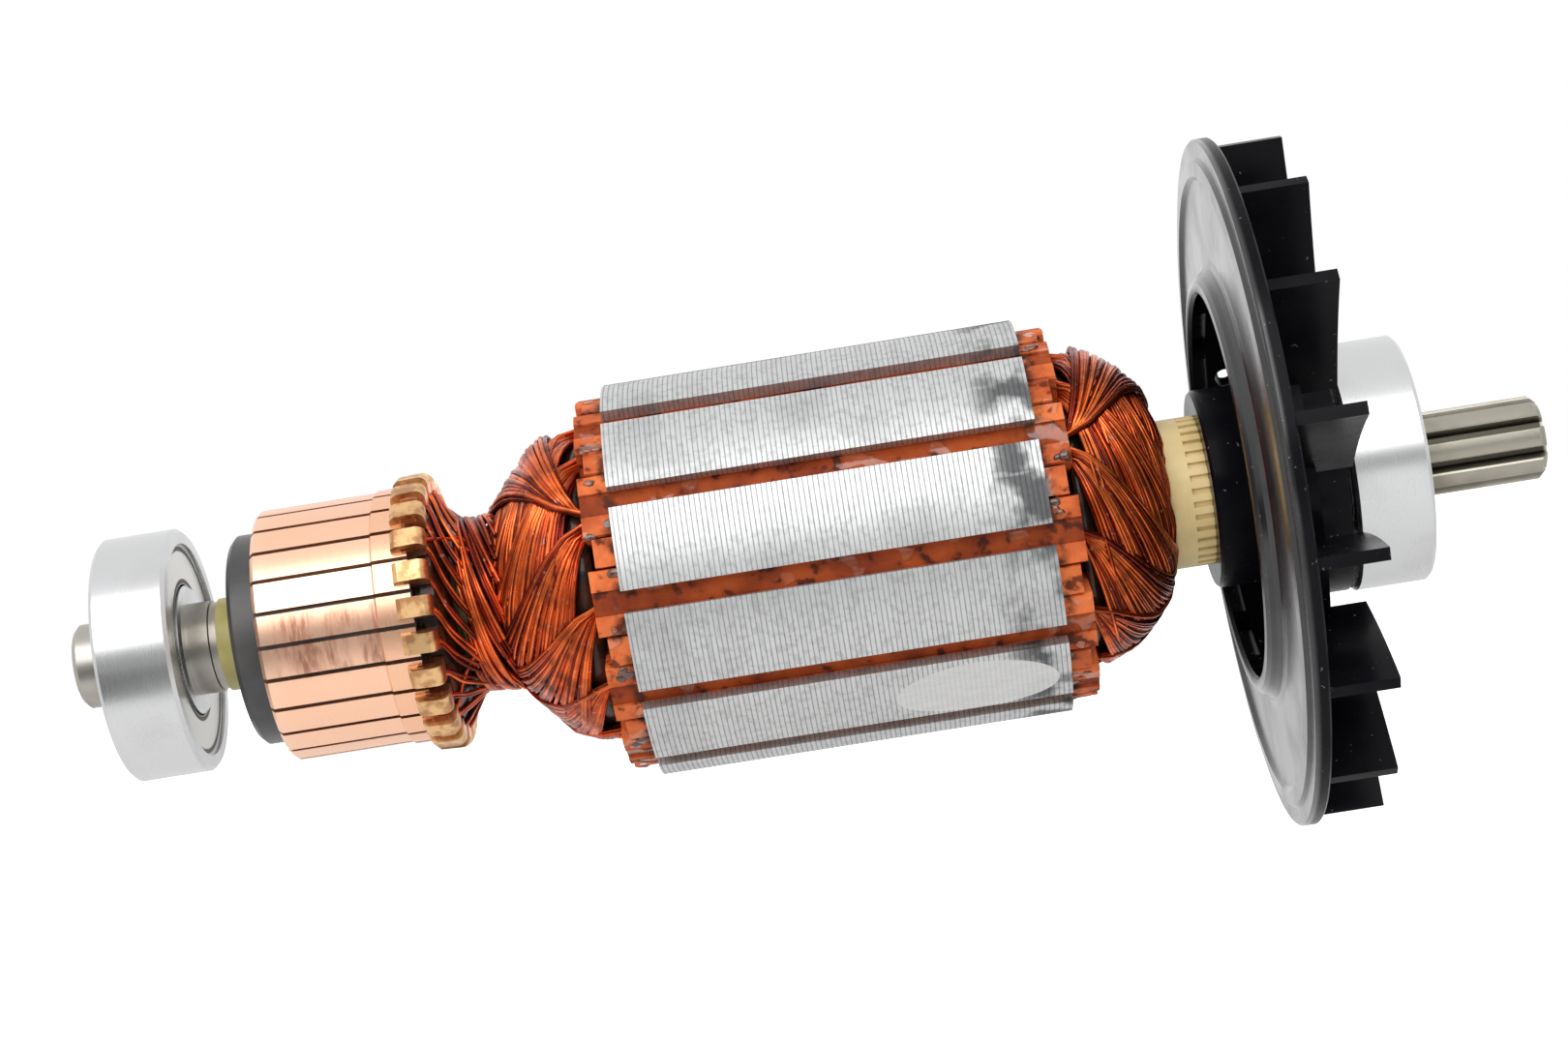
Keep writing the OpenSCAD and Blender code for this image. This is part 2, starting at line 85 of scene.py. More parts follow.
# %% The socket wrapper
class Wire:
    """An output socket that can be used in sums."""

    def __init__(self, tree, socket):
        self.tree = tree
        self.socket = socket

    def math(self, operation, *values, clamp=False):
        return self.tree.add("ShaderNodeMath", {"operation": operation, "use_clamp": clamp}, self, *values)

    def __add__(self, other): return self.math("ADD", other)
    def __radd__(self, other): return self.math("ADD", other)
    def __mul__(self, other): return self.math("MULTIPLY", other)
    def __rmul__(self, other): return self.math("MULTIPLY", other)
    def __sub__(self, other): return self.math("SUBTRACT", other)
    def __rsub__(self, other): return self.tree.add("ShaderNodeMath", {"operation": "SUBTRACT"}, other, self)
    def __truediv__(self, other): return self.math("DIVIDE", other)
    def __gt__(self, other): return self.math("GREATER_THAN", other)
    def __lt__(self, other): return self.math("LESS_THAN", other)
    def power(self, other): return self.math("POWER", other)
    def clamp(self): return self.math("MULTIPLY", 1.0, clamp=True)

    def distance(self, place): return (self - place).math("ABSOLUTE")

    def ramp(self, low, high):
        """0 at low and 1 at high, smooth between."""
        return self.tree.add("ShaderNodeMapRange", {"interpolation_type": "SMOOTHSTEP"}, self, low, high)


print("socket wrapper ready")

# %% [markdown]
# Every finish is one Principled shader. This class makes it and gives the measures that the patterns are
# built on: the place along the shaft, the distance from its axis and the angle round it, then noise in a
# few forms.

# %% The finish maker
class Finish:
    """A material whose Principled shader is fed from formulas."""

    def __init__(self, name, color, roughness, metallic=0.0, **constants):
        self.material = bpy.data.materials.new(name)
        self.material.use_nodes = True
        self.nodes = self.material.node_tree.nodes
        self.links = self.material.node_tree.links
        self.shader = self.nodes["Principled BSDF"]
        self.set("Base Color", (*color, 1.0))
        self.set("Roughness", roughness)
        self.set("Metallic", metallic)
        for socket, value in constants.items():
            self.set(socket.replace("_", " "), value)
        self.material.diffuse_color = (*color, 1.0)

    def plug(self, socket, value):
        if isinstance(value, Wire):
            self.links.new(value.socket, socket)
        elif value is not None:
            socket.default_value = value

    def set(self, name, value):
        self.plug(self.shader.inputs[name], value)

    def add(self, kind, settings=None, *values, output=0, **named):
        node = self.nodes.new(kind)
        for key, value in (settings or {}).items():
            setattr(node, key, value)
        for socket, value in zip(node.inputs, values):
            self.plug(socket, value)
        for key, value in named.items():
            self.plug(node.inputs[key], value)
        return Wire(self, node.outputs[output])

    def place(self):
        """Object coordinates, in metres, with the origin on the shaft's axis."""
        if not hasattr(self, "_place"):
            self._place = self.add("ShaderNodeTexCoord", output=3)
        return self._place

    def axes(self):
        """The three coordinates as numbers."""
        split = self.add("ShaderNodeSeparateXYZ", None, self.place()).socket.node
        return [Wire(self, socket) for socket in split.outputs]

    def along(self):
        """The place along the shaft."""
        return self.axes()[0]

    def radius(self):
        """The distance from the shaft's axis."""
        _, y, z = self.axes()
        return (y * y + z * z).power(0.5)

    def angle(self):
        """Angle round the shaft in radians, 0 on the side facing -Y and growing upwards."""
        _, y, z = self.axes()
        return self.add("ShaderNodeMath", {"operation": "ARCTAN2"}, z, 0 - y)

    def stretched(self, sx, sy, sz):
        """Object coordinates scaled along each axis, which draws a pattern out where the scale is small."""
        return self.add("ShaderNodeMapping", {"vector_type": "POINT"}, self.place(), None, None, (sx, sy, sz))

    def noise(self, scale, detail=3.0, where=None, rough=0.5):
        return self.add("ShaderNodeTexNoise", None, Vector=where or self.place(), Scale=scale, Detail=detail,
                        Roughness=rough)

    def speckle(self, scale, low, high, **named):
        """Patches of noise that are 0 below low and 1 above high."""
        return self.noise(scale, **named).ramp(low, high)

    def mix(self, mask, first, second):
        """The first colour where the mask is 0, the second where it is 1."""
        node = self.nodes.new("ShaderNodeMix")
        node.data_type = "RGBA"
        for index, value in ((0, mask), (6, first), (7, second)):
            value = (*value, 1.0) if isinstance(value, tuple) and len(value) == 3 else value
            self.plug(node.inputs[index], value)
        return Wire(self, node.outputs[2])

    def bump(self, height, strength, distance=0.0002):
        out = self.add("ShaderNodeBump", None, Strength=strength, Distance=distance, Height=height)
        self.set("Normal", out)


print("finish maker ready")

# %% [markdown]
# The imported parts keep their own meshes. They only get a finish, in the slots of their materials.

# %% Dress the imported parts
def dress(finish, *names):
    """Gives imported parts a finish."""
    for name in names:
        slots = nodes[name].material_slots
        if not slots:
            nodes[name].data.materials.append(finish.material)
        for slot in slots:
            slot.material = finish.material


print("ready to dress", len(nodes), "parts")

# %% [markdown]
# ## Steel
# The bearing rings are ground and polished, so they are a plain metal with very fine lines running round them.
# The shaft is duller and a little warm, with turning marks. Both take most of their look from what they
# reflect. The valleys between the pinion's teeth are painted dark, as shade.

# %% Steel
SHIELD_EDGE = 10.9 * MM
SHIELD_BORE = 7.4 * MM
PINION_RADIUS = 4.4 * MM


def bearing_steel():
    f = Finish("bearing_steel", (0.6, 0.6, 0.6), 0.2, 1.0)
    lines = f.noise(900.0, 2.0, f.stretched(14.0, 0.4, 0.4))
    smear = f.speckle(110.0, 0.42, 0.75)
    f.set("Roughness", 0.24 + 0.05 * lines + 0.03 * smear)
    f.set("Base Color", f.mix(smear, (0.65, 0.655, 0.66), (0.58, 0.58, 0.58)))
    f.bump(lines, 0.012, 0.00005)
    return f


def shield_steel():
    """The pressed shield has a rolled edge and a gap at the inner ring, and both are painted as dark rings of
    shade.
    """
    f = Finish("shield_steel", (0.85, 0.84, 0.82), 0.2, 0.9)
    grain = f.noise(2600.0, 2.0)
    radius = f.radius()
    rolled_edge_shade = 1 - radius.distance(SHIELD_EDGE).ramp(0.16 * MM, 0.36 * MM)
    bore_gap_shade = 1 - radius.distance(SHIELD_BORE).ramp(0.16 * MM, 0.34 * MM)
    # The dark rings at the rolled edge and at the gap by the inner ring are painted shade.
    dark = (rolled_edge_shade + bore_gap_shade).clamp()
    f.set("Base Color", f.mix(dark * 0.85, (0.66, 0.65, 0.62), (0.06, 0.058, 0.055)))
    f.set("Roughness", 0.2 + 0.1 * grain + 0.3 * dark)
    f.bump(grain, 0.04, 0.00005)
    return f


def shaft_steel():
    f = Finish("shaft_steel", (0.4, 0.375, 0.34), 0.3, 1.0)
    marks = f.noise(700.0, 3.0, f.stretched(9.0, 0.5, 0.5))
    stain = f.speckle(120.0, 0.4, 0.72)
    x = f.along()
    cut = x.ramp(pinion_start, pinion_start + 1 * MM)
    # The valleys between the pinion's teeth are painted dark, as shade.
    valley_shade = 1 - f.radius().ramp(PINION_RADIUS * 0.72, PINION_RADIUS * 0.97)
    valley_shade = valley_shade * (1 - x.ramp(pinion_end - 0.4 * MM, pinion_end - 0.1 * MM))
    plain = f.mix(stain, (0.44, 0.42, 0.385), (0.25, 0.225, 0.19))
    toothed = f.mix(valley_shade, f.mix(stain, (0.39, 0.37, 0.31), (0.24, 0.22, 0.175)), (0.045, 0.04, 0.03))
    f.set("Base Color", f.mix(cut, plain, toothed))
    f.set("Roughness", 0.24 + 0.2 * marks)
    f.bump(marks, 0.12, 0.00008)
    return f


def both_bearings(*parts):
    return [f"{end}_{part}" for end in ("rear", "front") for part in parts]


dress(bearing_steel(), *both_bearings("outer_ring", "inner_ring", "balls", "cage"))
dress(shield_steel(), *both_bearings("outer_shield", "inner_shield"))
dress(shaft_steel(), "shaft")
print("steel finished")

# %% [markdown]
# ## Laminated core
# The stack is cut from 0.5 mm electrical sheet. Its outside shows a fine line at every joint, with each
# sheet a shade lighter or darker than the next, and faint dirty smudges from handling. Where the rotor was
# balanced, a shallow flat is ground into one tooth, and there the sheets are bright and their joints
# faint.

# %% Laminations
SHEET = 0.52 * MM
FLAT_ANGLE = math.radians(-51.1)
FLAT_HALF_WIDTH = 0.19
FLAT_DEPTH = 0.6 * MM


def laminations():
    f = Finish("lamination_steel", (0.4, 0.41, 0.41), 0.42, 0.85)
    x = f.along()
    sheet = x / SHEET
    joint = sheet.math("FRACT").distance(0.5).ramp(0.3, 0.47)
    grain = f.noise(900.0, 2.0)
    shade = f.add("ShaderNodeTexWhiteNoise", {"noise_dimensions": "1D"}, None, sheet.math("FLOOR"))
    smudge = f.speckle(85.0, 0.5, 0.68, detail=4.0)
    end_dirt = f.speckle(210.0, 0.42, 0.6, detail=3.0) * x.ramp(core_end - 7.5 * MM, core_end - 3 * MM)
    scratch = f.noise(520.0, 2.0, f.stretched(0.25, 1.4, 1.4)).ramp(0.6, 0.7)
    body = f.mix(shade * 0.5, (0.63, 0.64, 0.635), (0.55, 0.555, 0.555))
    body = f.mix(smudge * 0.3, body, (0.27, 0.27, 0.27))
    sparkle = f.speckle(1300.0, 0.5, 0.62, detail=2.0)
    body = f.mix(sparkle * 0.3, body, (0.3, 0.3, 0.3))
    body = f.mix(end_dirt * 0.85, body, (0.06, 0.062, 0.065))
    body = f.mix(scratch * 0.3, body, (0.7, 0.71, 0.71))
    radius = f.radius()
    turn = f.angle().distance(FLAT_ANGLE)
    sunk = (radius < core_radius - 0.03 * MM) * (radius > core_radius - FLAT_DEPTH)
    ground = sunk * (turn < FLAT_HALF_WIDTH)
    marks = f.noise(1900.0, 1.0, f.stretched(0.3, 1.0, 1.0))
    body = f.mix(ground, body, f.mix(marks, (0.72, 0.72, 0.71), (0.6, 0.6, 0.59)))
    line = joint * (0.35 + 0.4 * grain) * (1 - 0.75 * ground)
    f.set("Base Color", f.mix(line, body, (0.1, 0.1, 0.105)))
    f.set("Roughness", 0.44 + 0.15 * joint * (1 - ground) + 0.2 * end_dirt)
    f.bump((1 - joint) * (1 - ground) + 0.4 * grain, 0.35, 0.00005)
    return f


dress(laminations(), "lamination_core")
print("core finished, about", round((core_end - core_start) / SHEET), "sheets")

# %% [markdown]
# ## Fibre and resin
# The slot liners, wedges and end stars are red-brown pressed fibre, brushed with varnish that stays glossy
# where it ran. The insulating bush is cream moulded resin, and the commutator's body is black resin.

# %% Fibre, resins
def fibre(name, light, shade, dirt):
    """Pressed fibre, darker in patches where it meets the core, with glossy runs of varnish."""
    f = Finish(name, light, 0.5, 0.0, IOR=1.25)
    cloud = f.speckle(260.0, 0.3, 0.7, detail=4.0)
    run = f.speckle(330.0, 0.57, 0.63, detail=2.0)
    dark = f.speckle(520.0, 0.56, 0.66, detail=3.0)
    grain = f.noise(3000.0, 3.0)
    x = f.along()
    corner = 2 - sum(x.distance(end).ramp(0.2 * MM, 1.5 * MM) for end in (core_start, core_end))
    # Darker in speckled patches close to the core's end faces.
    dark_near_core_ends = corner * f.speckle(700.0, 0.4, 0.6, detail=4.0)
    color = f.mix(cloud, light, shade)
    color = f.mix(dark_near_core_ends * 0.85, color, (0.045, 0.014, 0.009))
    color = f.mix(dark * dirt, color, (0.06, 0.012, 0.007))
    f.set("Base Color", f.mix(run * 0.15, color, (0.55, 0.25, 0.14)))
    f.set("Roughness", 0.55 - 0.42 * run + 0.1 * grain)
    f.set("Coat Weight", run * 0.9)
    lump = f.noise(420.0, 2.0)
    f.bump(0.3 * grain + 0.7 * run + 2.2 * lump, 0.7, 0.0003)
    return f


def resin(name, color, shade, roughness):
    f = Finish(name, color, roughness, 0.0)
    cloud = f.speckle(220.0, 0.35, 0.75)
    grain = f.noise(2600.0, 2.0)
    f.set("Base Color", f.mix(cloud, color, shade))
    f.set("Roughness", roughness - 0.08 + 0.18 * grain)
    f.bump(grain, 0.15, 0.00006)
    return f


red_fibre = fibre("fibre", (0.78, 0.19, 0.055), (0.43, 0.07, 0.018), 0.8)
wedge_fibre = fibre("wedge_fibre", (0.42, 0.075, 0.014), (0.2, 0.03, 0.008), 0.9)
cream_resin = resin("cream_resin", (0.84, 0.66, 0.32), (0.68, 0.51, 0.22), 0.5)
yellow_resin = resin("yellow_resin", (0.5, 0.44, 0.15), (0.36, 0.3, 0.08), 0.4)
black_resin = resin("black_resin", (0.04, 0.04, 0.042), (0.065, 0.063, 0.06), 0.34)
dress(red_fibre, "slot_liners", "rear_end_star", "front_end_star")
dress(wedge_fibre, "slot_wedges")
dress(cream_resin, "front_bush")
dress(yellow_resin, "shaft_insulation")
dress(black_resin, "commutator_body")
print("fibre and resins finished")

# %% [markdown]
# ## Commutator copper
# The brush track is turned and then burnished by the brushes, so it has very fine rings and some dark
# scuffs. The hooks were heated when they were pressed over the wires, which turned them a duller brass
# colour.

# %% Copper bars
TRACK_LENGTH = 12.6 * MM
RISER_RADIUS = 13.55 * MM
WORN_ANGLE = math.radians(-5)
riser_start = track_start + TRACK_LENGTH


def copper():
    f = Finish("copper", (0.8, 0.42, 0.28), 0.26, 1.0)
    x = f.along()
    rings = f.noise(1300.0, 2.0, f.stretched(10.0, 0.3, 0.3))
    hook = f.radius().ramp(RISER_RADIUS + 0.06 * MM, RISER_RADIUS + 0.3 * MM)
    band = x.ramp(riser_start, riser_start + 0.3 * MM)
    fine = f.noise(900.0, 3.0, f.stretched(2.4, 0.5, 0.5)).ramp(0.4, 0.6)
    rub = f.noise(240.0, 4.0, f.stretched(2.6, 0.7, 0.7)).ramp(0.38, 0.6) * (0.3 + 0.7 * fine)
    near = 1 - f.angle().distance(WORN_ANGLE).ramp(math.radians(9), math.radians(17))
    worn = x.ramp(track_start + 0.5 * MM, track_start + 2.5 * MM) * (1 - band)
    scuff = rub * near * worn
    track = f.mix(scuff * 0.85, (0.97, 0.59, 0.41), (0.4, 0.14, 0.08))
    track = f.mix(worn * 0.85, (0.97, 0.62, 0.44), track)
    track = f.mix(band, f.mix(scuff * 0.6, track, (0.4, 0.18, 0.12)), (0.93, 0.54, 0.35))
    burnt = f.mix(f.speckle(800.0, 0.4, 0.65), (0.8, 0.5, 0.24), (0.48, 0.24, 0.11))
    f.set("Base Color", f.mix(hook, track, burnt))
    f.set("Roughness", 0.24 + 0.1 * rings + 0.2 * scuff + 0.08 * hook)
    f.bump(rings + scuff, 0.1, 0.00005)
    return f


bars = [name for name in nodes if name.startswith("commutator_bar_")]
dress(copper(), *bars)
print("bars finished", len(bars))

# %% [markdown]
# ## Fan plastic
# The fan is black moulded plastic with dust on it. The dust is a sparse speckle that is lighter and
# rougher. The open front of the disc takes the polish of its mould, so it shines at a low angle, while the
# blades are duller.

# %% Fan
DISC_SETBACK = 4.2 * MM
RING_RADIUS = 20.5 * MM
disc_front = hub_start + DISC_SETBACK


def fan_plastic():
    f = Finish("fan_plastic", (0.012, 0.012, 0.014), 0.25, 0.0, IOR=1.16, Coat_IOR=1.65, Coat_Roughness=0.2)
    dust = f.speckle(1700.0, 0.75, 0.775, detail=1.0)
    haze = f.speckle(140.0, 0.35, 0.8)
    color = f.mix(haze * 0.5, (0.004, 0.004, 0.006), (0.012, 0.012, 0.012))
    f.set("Base Color", f.mix(dust * 0.35, color, (0.3, 0.29, 0.28)))
    f.set("Roughness", 0.2 + 0.1 * haze + 0.3 * dust)
    before_disc = 1 - f.along().ramp(disc_front + 0.2 * MM, disc_front + 0.7 * MM)
    outside_ring = f.radius().ramp(RING_RADIUS, RING_RADIUS + 1 * MM)
    f.set("Coat Weight", before_disc * outside_ring * (1 - 0.3 * haze))
    f.bump(f.noise(700.0, 3.0), 0.03, 0.0001)
    return f


dress(fan_plastic(), "fan")
print("fan finished")

# %% [markdown]
# ## Enamelled wire
# Each winding is made of single wires. Three shades of the same enamel are dealt out to the wires, so that
# they read as separate strands. Under them lies a varnished body that closes the gaps, painted near black as
# the shade between the wires.

# %% Enamel and varnish
def enamel(name, color):
    f = Finish(name, color, 0.3, 0.9, Coat_Weight=0.12, Coat_Roughness=0.14)
    patch = f.speckle(420.0, 0.35, 0.7)
    dark = tuple(c * 0.35 for c in color)
    fleck = f.speckle(1500.0, 0.69, 0.73, detail=1.0)
    f.set("Base Color", f.mix(fleck * 0.3, f.mix(patch * 0.85, color, dark), (0.6, 0.42, 0.34)))
    f.set("Roughness", 0.26 + 0.2 * patch)
    return f


# Near-black varnish for the head bodies and the lead band. Its darkness is also painted shade for the gaps
# between the wires.
def varnish_and_shade():
    f = Finish("varnish_and_shade", (0.03, 0.012, 0.008), 0.3, 0.0, Coat_Weight=0.3, Coat_Roughness=0.1, IOR=1.3)
    lumps = f.noise(900.0, 2.0)
    f.set("Base Color", f.mix(f.speckle(500.0, 0.45, 0.6), (0.014, 0.008, 0.006), (0.05, 0.014, 0.006)))
    f.bump(lumps, 0.5, 0.0002)
    return f


enamels = [enamel("enamel_light", (0.88, 0.175, 0.036)), enamel("enamel_mid", (0.6, 0.083, 0.018)),
           enamel("enamel_dark", (0.23, 0.02, 0.007))]
varnish_and_shade_finish = varnish_and_shade()
dress(enamels[1], "slot_coils")
dress(varnish_and_shade_finish, "lead_band")
print("enamels", len(enamels))

# %% [markdown]
# New pieces lie at the origin, unturned, with their place in their mesh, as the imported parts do.

# %% Helpers that put a piece in the scene
def link(name, data):
    """An object of its own for some data."""
    thing = bpy.data.objects.new(name, data)
    bpy.context.collection.objects.link(thing)
    return thing


def solid(name, bm, finish):
    """Turns a bmesh into an object with a finish."""
    mesh = bpy.data.meshes.new(name)
    bm.to_mesh(mesh)
    bm.free()
    mesh.materials.append(finish.material)
    return link(name, mesh)


print("scene helpers ready")

# %% [markdown]
# A wire is a polyline curve with a round bevel. Many wires share one curve object, which is made a mesh at the
# end. The dark enamel is dealt out a little less often than the other two.

# %% Wire helpers
WIRE_RADIUS = 0.23 * MM


def at(x, radius, angle):
    """The point at a place along the shaft, a radius and an angle in degrees."""
    a = math.radians(angle)
    return Vector((x, -radius * math.cos(a), radius * math.sin(a)))


def smooth_path(points, steps):
    """Points on a Catmull-Rom curve through the given points."""
    path = []
    knots = [points[0] * 2 - points[1], *points, points[-1] * 2 - points[-2]]
    for i in range(1, len(knots) - 2):
        for j in range(steps):
            t = j / steps
            a, b, c, d = knots[i - 1:i + 3]
            path.append(0.5 * (2 * b + (c - a) * t + (2 * a - 5 * b + 4 * c - d) * t ** 2
                               + (3 * b - a - 3 * c + d) * t ** 3))
    return [*path, points[-1]]


def deal(rng):
    """The index of a wire's enamel."""
    return rng.choices((0, 1, 2), (4, 4, 3))[0]


def strands(name, paths):
    """One mesh of many wires. Each path is (points, index of its enamel)."""
    curve = bpy.data.curves.new(name, "CURVE")
    curve.dimensions = "3D"
    curve.bevel_depth = WIRE_RADIUS
    curve.bevel_resolution = 1
    curve.use_fill_caps = True
    for finish in enamels:
        curve.materials.append(finish.material)
    for points, shade in paths:
        spline = curve.splines.new("POLY")
        spline.points.add(len(points) - 1)
        for target, point in zip(spline.points, points):
            target.co = (*point, 1.0)
        spline.material_index = shade
        spline.use_smooth = True
    rough = link(name + "_curve", curve)
    bpy.context.view_layer.update()
    mesh = bpy.data.meshes.new_from_object(rough.evaluated_get(bpy.context.evaluated_depsgraph_get()))
    bpy.data.objects.remove(rough)
    piece = link(name, mesh)
    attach(piece, "rotor")
    return piece


def interpolate(table, value):
    """Straight-line reading of a table of (place, radius) pairs."""
    for (x0, r0), (x1, r1) in zip(table, table[1:]):
        if value <= x1:
            return r0 + (r1 - r0) * max(0.0, (value - x0) / (x1 - x0))
    return table[-1][1]


print("wire helpers ready")

# %% [markdown]
# ## Winding heads
# A coil leaves one slot, swings round the shaft and enters the fifth slot along. Every coil starts on top
# of the earlier ones and ends below the later ones, which gives the heads their overlapping fans. The last
# coil lies on top over its whole length. Each wire swings out from the slot and back by a sine. Raised to
# a power near a half, it leaves the slot steeply and is flat in the middle, as wire pulled tight over a
# head is. The outline of each head is a short table of (distance from the liners' end, radius) in mm.

# %% Coils
SLOTS = 12
SLOT_PITCH = 360 / SLOTS
FIRST_SLOT_ANGLE = 24.9
SPAN = 150
WIRES_A_COIL = 40
STEPS_A_WIRE = 24
LAST_COIL = 5
SET_IN = 1.2
REAR_OUTLINE = [(0, 17.9), (3, 17.2), (5.6, 15.8), (8.6, 12.5), (10.4, 10.2), (12, 9.3), (15.4, 9.1)]
FRONT_OUTLINE = [(0, 18.0), (2, 17.5), (4.5, 16.2), (7, 14.4), (9.2, 11.8), (10.4, 9.2), (10.9, 7.9)]


def coil(rng, face, way, outline, start_angle, reach, last):
    """The wires of one coil's end, as paths. way is -1 towards the commutator and +1 towards the fan.

    Lengths are in mm and angles in degrees. height is 0 for a coil's lowest wire and 1 for its highest. t is 0
    at the slot where the coil lies on top and 1 where it has gone below the others.
    """
    nearest, furthest = reach
    bed, dive, lean = (0.0, 0.0, 1.0) if last else (0.25, 2.8, 1.1)
    paths = []
    for j in range(WIRES_A_COIL):
        height = (j + 0.5) / WIRES_A_COIL
        top = nearest + (furthest - nearest) * height ** 0.85 + rng.uniform(-0.15, 0.15)
        aside = rng.uniform(-1.8, 1.8) + (height - 0.5) * 7
        sag = rng.uniform(0.0, 0.55) ** 1.5
        flatness = rng.uniform(0.53, 0.59)
        path = []
        for i in range(STEPS_A_WIRE + 1):
            t = i / STEPS_A_WIRE
            swing = math.sin(math.pi * t ** lean) ** flatness
            away = top * swing
            mouth = (1 - swing) ** 2
            radius = interpolate(outline, away) - (sag + bed + dive * t) * (1 - 0.35 * mouth)
            radius -= 2.2 * mouth * (0.35 + 1.1 * (1 - height))
            angle = start_angle - SPAN * t + aside * (1 - abs(2 * t - 1) ** 3)
            path.append(at(face + way * (away - SET_IN * mouth) * MM, radius * MM, angle))
        paths.append((path, deal(rng)))
    return paths


def winding(end, face, way, outline, reach, seed):
    """The coils of one head, two to a piece."""
    rng = random.Random(seed)
    made = []
    for first in range(0, SLOTS, 2):
        paths = []
        for k in (first, first + 1):
            start = FIRST_SLOT_ANGLE + k * SLOT_PITCH
            paths += coil(rng, face, way, outline, start, reach, last=(k == LAST_COIL))
        made.append(strands(f"{end}_coils_{first // 2 + 1}", paths))
    return made


rear_coils = winding("rear", liner_start, -1, REAR_OUTLINE, (3.6, 11.4), seed=7)
front_coils = winding("front", liner_end, 1, FRONT_OUTLINE, (2.6, 10.2), seed=11)
for piece in (*rear_coils, *front_coils):
    print(piece.name, len(piece.data.polygons))

# %% [markdown]
# Inside the wires sits a varnished body of the same outline, a little smaller, turned with one spin. Its
# near-black colour is painted shade for the gaps between the wires.

# %% Varnished bodies inside the heads
BODY_SHARE = 0.88


def turned(name, outline, finish):
    """Spins a line of (x, radius) points, in metres, round the shaft."""
    bm = bmesh.new()
    line = [bm.verts.new((x, -r, 0)) for x, r in outline]
    edges = [bm.edges.new(pair) for pair in zip(line, line[1:])]
    bmesh.ops.spin(bm, geom=line + edges, cent=(0, 0, 0), axis=(1, 0, 0), angle=math.tau, steps=96,
                   use_merge=True)
    bmesh.ops.remove_doubles(bm, verts=bm.verts, dist=1e-7)
    bmesh.ops.recalc_face_normals(bm, faces=bm.faces)
    for face in bm.faces:
        face.smooth = True
    return solid(name, bm, finish)


def head_body(name, node, face, way, outline, inner):
    points = [(face, inner)]
    points += [(face + way * max(0, d - SET_IN) * MM, max(inner, r * BODY_SHARE * MM)) for d, r in outline]
    points += [(points[-1][0], inner), (face, inner)]
    piece = turned(name, points, varnish_and_shade_finish)
    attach(piece, "rotor")
    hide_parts(node)
    return piece


tube_radius = outer_radius("shaft_insulation")
rear_body = head_body("rear_head_body", "rear_winding", liner_start, -1, REAR_OUTLINE, tube_radius)
front_body = head_body("front_head_body", "front_winding", liner_end, 1, FRONT_OUTLINE, tube_radius)
print(rear_body.name, front_body.name)

# %% [markdown]
# Two leads go down from every hook and sweep the same way round the neck before they join the coils. At
# every sixth hook a third one crosses them. More wires run nearly straight round the neck and bind it.

# %% Leads from the hooks
FIRST_BAR_ANGLE = 11.3
LEAD_SWEEP = -52
CROSSING_SWEEP = 30
NECK_WIRES = 72


def leads():
    """Each lead runs through knots of (place along the shaft, radius in mm, share of its sweep)."""
    rng = random.Random(3)
    paths = []
    bar_pitch = 360 / len(bars)
    for k in range(len(bars)):
        angle = FIRST_BAR_ANGLE + (k + 0.5) * bar_pitch
        sweeps = [LEAD_SWEEP + rng.uniform(-2, 2) + 4 * j for j in range(2)]
        if k % 6 == 1:
            sweeps.append(CROSSING_SWEEP)
        for j, sweep in enumerate(sweeps):
            start = angle + (j - 1) * 1.6
            end = neck_start + (2.4 + rng.uniform(0, 0.9)) * MM
            level = rng.uniform(0.0, 0.4)
            route = [(hook_end - 0.9 * MM, 13.0, 0), (hook_end + 0.1 * MM, 12.4, 0.06),
                     (hook_end + 1.0 * MM, 10.9 - level, 0.3), (neck_start + 0.9 * MM, 9.4 - level, 0.6),
                     (end, 9.0 - level, 1)]
            knots = [at(x, radius * MM, start + sweep * share) for x, radius, share in route]
            paths.append((smooth_path(knots, 5), deal(rng)))
    return strands("hook_leads", paths)


def neck_wraps():
    """Wires that run nearly straight round the neck before they leave for a coil."""
    rng = random.Random(5)
    paths = []
    for k in range(NECK_WIRES):
        start = 360 / NECK_WIRES * k + rng.uniform(-8, 8)
        sweep = rng.uniform(94, 108)
        x0 = neck_start + rng.uniform(0.6, 1.9) * MM
        x1 = neck_start + rng.uniform(4.2, 5.2) * MM
        level = rng.uniform(8.7, 9.3)
        knots = [at(x0 + (x1 - x0) * t ** 1.4, (level + 0.3 * t * t) * MM, start - sweep * t)
                 for t in (0, 0.25, 0.5, 0.75, 1)]
        paths.append((smooth_path(knots, 5), deal(rng)))
    return strands("neck_wraps", paths)


hook_leads = leads()
wraps = neck_wraps()
print(hook_leads.name, len(hook_leads.data.polygons), wraps.name, len(wraps.data.polygons))

# %% [markdown]
# The armature was dipped in varnish after winding. It hardened in lumps where the fibre meets the core, so
# each corner gets a few. A lump is a small ball whose points are pushed in and out by noise and pressed
# flat on its surface.

# %% Varnish lumps at the ends of the core
LUMPS_A_SLOT = 7


def lump(bm, rng, middle, outward, size):
    made = bmesh.ops.create_icosphere(bm, subdivisions=2, radius=size)["verts"]
    seed = Vector([rng.uniform(0, 50) for _ in range(3)])
    along = Vector((1, 0, 0))
    across = outward.cross(along)
    stretch = rng.uniform(0.8, 1.7), rng.uniform(0.7, 1.2), rng.uniform(0.3, 0.5)
    for vert in made:
        swell = 1 + 0.45 * noise.noise(vert.co / size * 1.3 + seed)
        x, y, z = (part * factor * swell for part, factor in zip(vert.co, stretch))
        vert.co = middle + along * x + across * y + outward * z


def varnish_drop():
    f = Finish("varnish_drop", (0.2, 0.05, 0.016), 0.15, 0.0, Coat_Weight=1.0, Coat_Roughness=0.05)
    f.set("Base Color", f.mix(f.speckle(600.0, 0.4, 0.6), (0.3, 0.075, 0.02), (0.06, 0.018, 0.01)))
    return f


